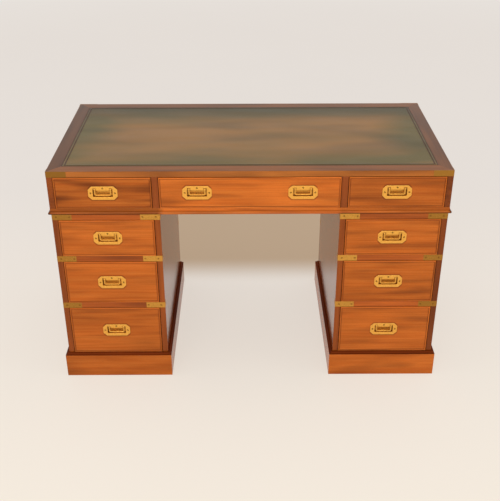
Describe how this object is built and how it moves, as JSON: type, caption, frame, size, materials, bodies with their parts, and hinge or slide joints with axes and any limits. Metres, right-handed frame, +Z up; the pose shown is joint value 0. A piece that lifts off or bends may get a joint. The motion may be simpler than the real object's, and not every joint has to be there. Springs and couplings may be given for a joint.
{
  "type": "campaign desk",
  "caption": "Pedestal writing desk in polished mahogany with an inset green leather top, brass corner straps and drawers with recessed brass bail pulls.",
  "frame": {"origin": "on the floor under the middle of the desk", "axes": "+X to the sitter's right along the front, +Y from the sitter to the back, +Z up"},
  "size_m": [1.238, 0.628, 0.748],
  "materials": {
    "mahogany_front": "polished orange-brown mahogany with horizontal ribbon grain",
    "mahogany_case": "polished red-brown mahogany",
    "mahogany_dark": "polished mahogany, darkened in the hollow of the moulding",
    "drawer_lining": "plain pale mahogany lining",
    "carcase_wood": "bare pale carcase wood",
    "brass": "polished brass",
    "leather": "antiqued green hide with a tooled border"
  },
  "bodies": {
    "pedestals": {"left_pedestal_sides": "mahogany_case", "right_pedestal_sides": "mahogany_case", "pedestal_backs": "mahogany_case", "pedestal_bottoms": "carcase_wood", "drawer_runners": "carcase_wood", "left_drawer_rails": "mahogany_case", "right_drawer_rails": "mahogany_case", "left_plinth": "mahogany_front", "right_plinth": "mahogany_front", "plinth_mouldings": "mahogany_dark", "corner_straps": "brass", "strap_screws": "brass", "locating_pegs": "carcase_wood"},
    "top_section": {"top_border": "mahogany_case", "top_corner_straps": "brass", "top_panel": "carcase_wood", "writing_leather": "leather", "frieze_ends": "mahogany_case", "frieze_dividers": "mahogany_case", "frieze_back": "mahogany_case", "frieze_base_frame": "mahogany_front", "frieze_bead": "mahogany_front"},
    "frieze_left_drawer": {"frieze_left_drawer_front": "mahogany_front", "frieze_left_drawer_box": "drawer_lining", "frieze_left_drawer_pull": "brass"},
    "frieze_left_bail": {"frieze_left_bail": "brass"},
    "frieze_centre_drawer": {"frieze_centre_drawer_front": "mahogany_front", "frieze_centre_drawer_box": "drawer_lining", "frieze_centre_drawer_pull": "brass"},
    "frieze_centre_left_bail": {"frieze_centre_left_bail": "brass"},
    "frieze_centre_right_bail": {"frieze_centre_right_bail": "brass"},
    "frieze_right_drawer": {"frieze_right_drawer_front": "mahogany_front", "frieze_right_drawer_box": "drawer_lining", "frieze_right_drawer_pull": "brass"},
    "frieze_right_bail": {"frieze_right_bail": "brass"},
    "left_upper_drawer": {"left_upper_drawer_front": "mahogany_front", "left_upper_drawer_box": "drawer_lining", "left_upper_drawer_pull": "brass"},
    "left_upper_bail": {"left_upper_bail": "brass"},
    "left_middle_drawer": {"left_middle_drawer_front": "mahogany_front", "left_middle_drawer_box": "drawer_lining", "left_middle_drawer_pull": "brass"},
    "left_middle_bail": {"left_middle_bail": "brass"},
    "left_lower_drawer": {"left_lower_drawer_front": "mahogany_front", "left_lower_drawer_box": "drawer_lining", "left_lower_drawer_pull": "brass"},
    "left_lower_bail": {"left_lower_bail": "brass"},
    "right_upper_drawer": {"right_upper_drawer_front": "mahogany_front", "right_upper_drawer_box": "drawer_lining", "right_upper_drawer_pull": "brass"},
    "right_upper_bail": {"right_upper_bail": "brass"},
    "right_middle_drawer": {"right_middle_drawer_front": "mahogany_front", "right_middle_drawer_box": "drawer_lining", "right_middle_drawer_pull": "brass"},
    "right_middle_bail": {"right_middle_bail": "brass"},
    "right_lower_drawer": {"right_lower_drawer_front": "mahogany_front", "right_lower_drawer_box": "drawer_lining", "right_lower_drawer_pull": "brass"},
    "right_lower_bail": {"right_lower_bail": "brass"}
  },
  "joints": [
    {"name": "top_lift", "type": "slide", "parent": "pedestals", "child": "top_section", "axis": [0, 0, 1], "range_m": [0, 0.06]},
    {"name": "frieze_left_drawer_slide", "type": "slide", "parent": "top_section", "child": "frieze_left_drawer", "axis": [0, -1, 0], "range_m": [0, 0.42]},
    {"name": "frieze_left_bail_swing", "type": "hinge", "parent": "frieze_left_drawer", "child": "frieze_left_bail", "pos_m": [-0.444, -0.30325, 0.68925], "axis": [-1, 0, 0], "range_deg": [0, 90]},
    {"name": "frieze_centre_drawer_slide", "type": "slide", "parent": "top_section", "child": "frieze_centre_drawer", "axis": [0, -1, 0], "range_m": [0, 0.42]},
    {"name": "frieze_centre_left_bail_swing", "type": "hinge", "parent": "frieze_centre_drawer", "child": "frieze_centre_left_bail", "pos_m": [-0.16, -0.30325, 0.68925], "axis": [-1, 0, 0], "range_deg": [0, 90]},
    {"name": "frieze_centre_right_bail_swing", "type": "hinge", "parent": "frieze_centre_drawer", "child": "frieze_centre_right_bail", "pos_m": [0.16, -0.30325, 0.68925], "axis": [-1, 0, 0], "range_deg": [0, 90]},
    {"name": "frieze_right_drawer_slide", "type": "slide", "parent": "top_section", "child": "frieze_right_drawer", "axis": [0, -1, 0], "range_m": [0, 0.42]},
    {"name": "frieze_right_bail_swing", "type": "hinge", "parent": "frieze_right_drawer", "child": "frieze_right_bail", "pos_m": [0.444, -0.30325, 0.68925], "axis": [-1, 0, 0], "range_deg": [0, 90]},
    {"name": "left_upper_drawer_slide", "type": "slide", "parent": "pedestals", "child": "left_upper_drawer", "axis": [0, -1, 0], "range_m": [0, 0.42]},
    {"name": "left_upper_bail_swing", "type": "hinge", "parent": "left_upper_drawer", "child": "left_upper_bail", "pos_m": [-0.442, -0.30125, 0.53425], "axis": [-1, 0, 0], "range_deg": [0, 90]},
    {"name": "left_middle_drawer_slide", "type": "slide", "parent": "pedestals", "child": "left_middle_drawer", "axis": [0, -1, 0], "range_m": [0, 0.42]},
    {"name": "left_middle_bail_swing", "type": "hinge", "parent": "left_middle_drawer", "child": "left_middle_bail", "pos_m": [-0.442, -0.30125, 0.37425], "axis": [-1, 0, 0], "range_deg": [0, 90]},
    {"name": "left_lower_drawer_slide", "type": "slide", "parent": "pedestals", "child": "left_lower_drawer", "axis": [0, -1, 0], "range_m": [0, 0.42]},
    {"name": "left_lower_bail_swing", "type": "hinge", "parent": "left_lower_drawer", "child": "left_lower_bail", "pos_m": [-0.442, -0.30125, 0.18975], "axis": [-1, 0, 0], "range_deg": [0, 90]},
    {"name": "right_upper_drawer_slide", "type": "slide", "parent": "pedestals", "child": "right_upper_drawer", "axis": [0, -1, 0], "range_m": [0, 0.42]},
    {"name": "right_upper_bail_swing", "type": "hinge", "parent": "right_upper_drawer", "child": "right_upper_bail", "pos_m": [0.442, -0.30125, 0.53425], "axis": [-1, 0, 0], "range_deg": [0, 90]},
    {"name": "right_middle_drawer_slide", "type": "slide", "parent": "pedestals", "child": "right_middle_drawer", "axis": [0, -1, 0], "range_m": [0, 0.42]},
    {"name": "right_middle_bail_swing", "type": "hinge", "parent": "right_middle_drawer", "child": "right_middle_bail", "pos_m": [0.442, -0.30125, 0.37425], "axis": [-1, 0, 0], "range_deg": [0, 90]},
    {"name": "right_lower_drawer_slide", "type": "slide", "parent": "pedestals", "child": "right_lower_drawer", "axis": [0, -1, 0], "range_m": [0, 0.42]},
    {"name": "right_lower_bail_swing", "type": "hinge", "parent": "right_lower_drawer", "child": "right_lower_bail", "pos_m": [0.442, -0.30125, 0.18975], "axis": [-1, 0, 0], "range_deg": [0, 90]}
  ]
}
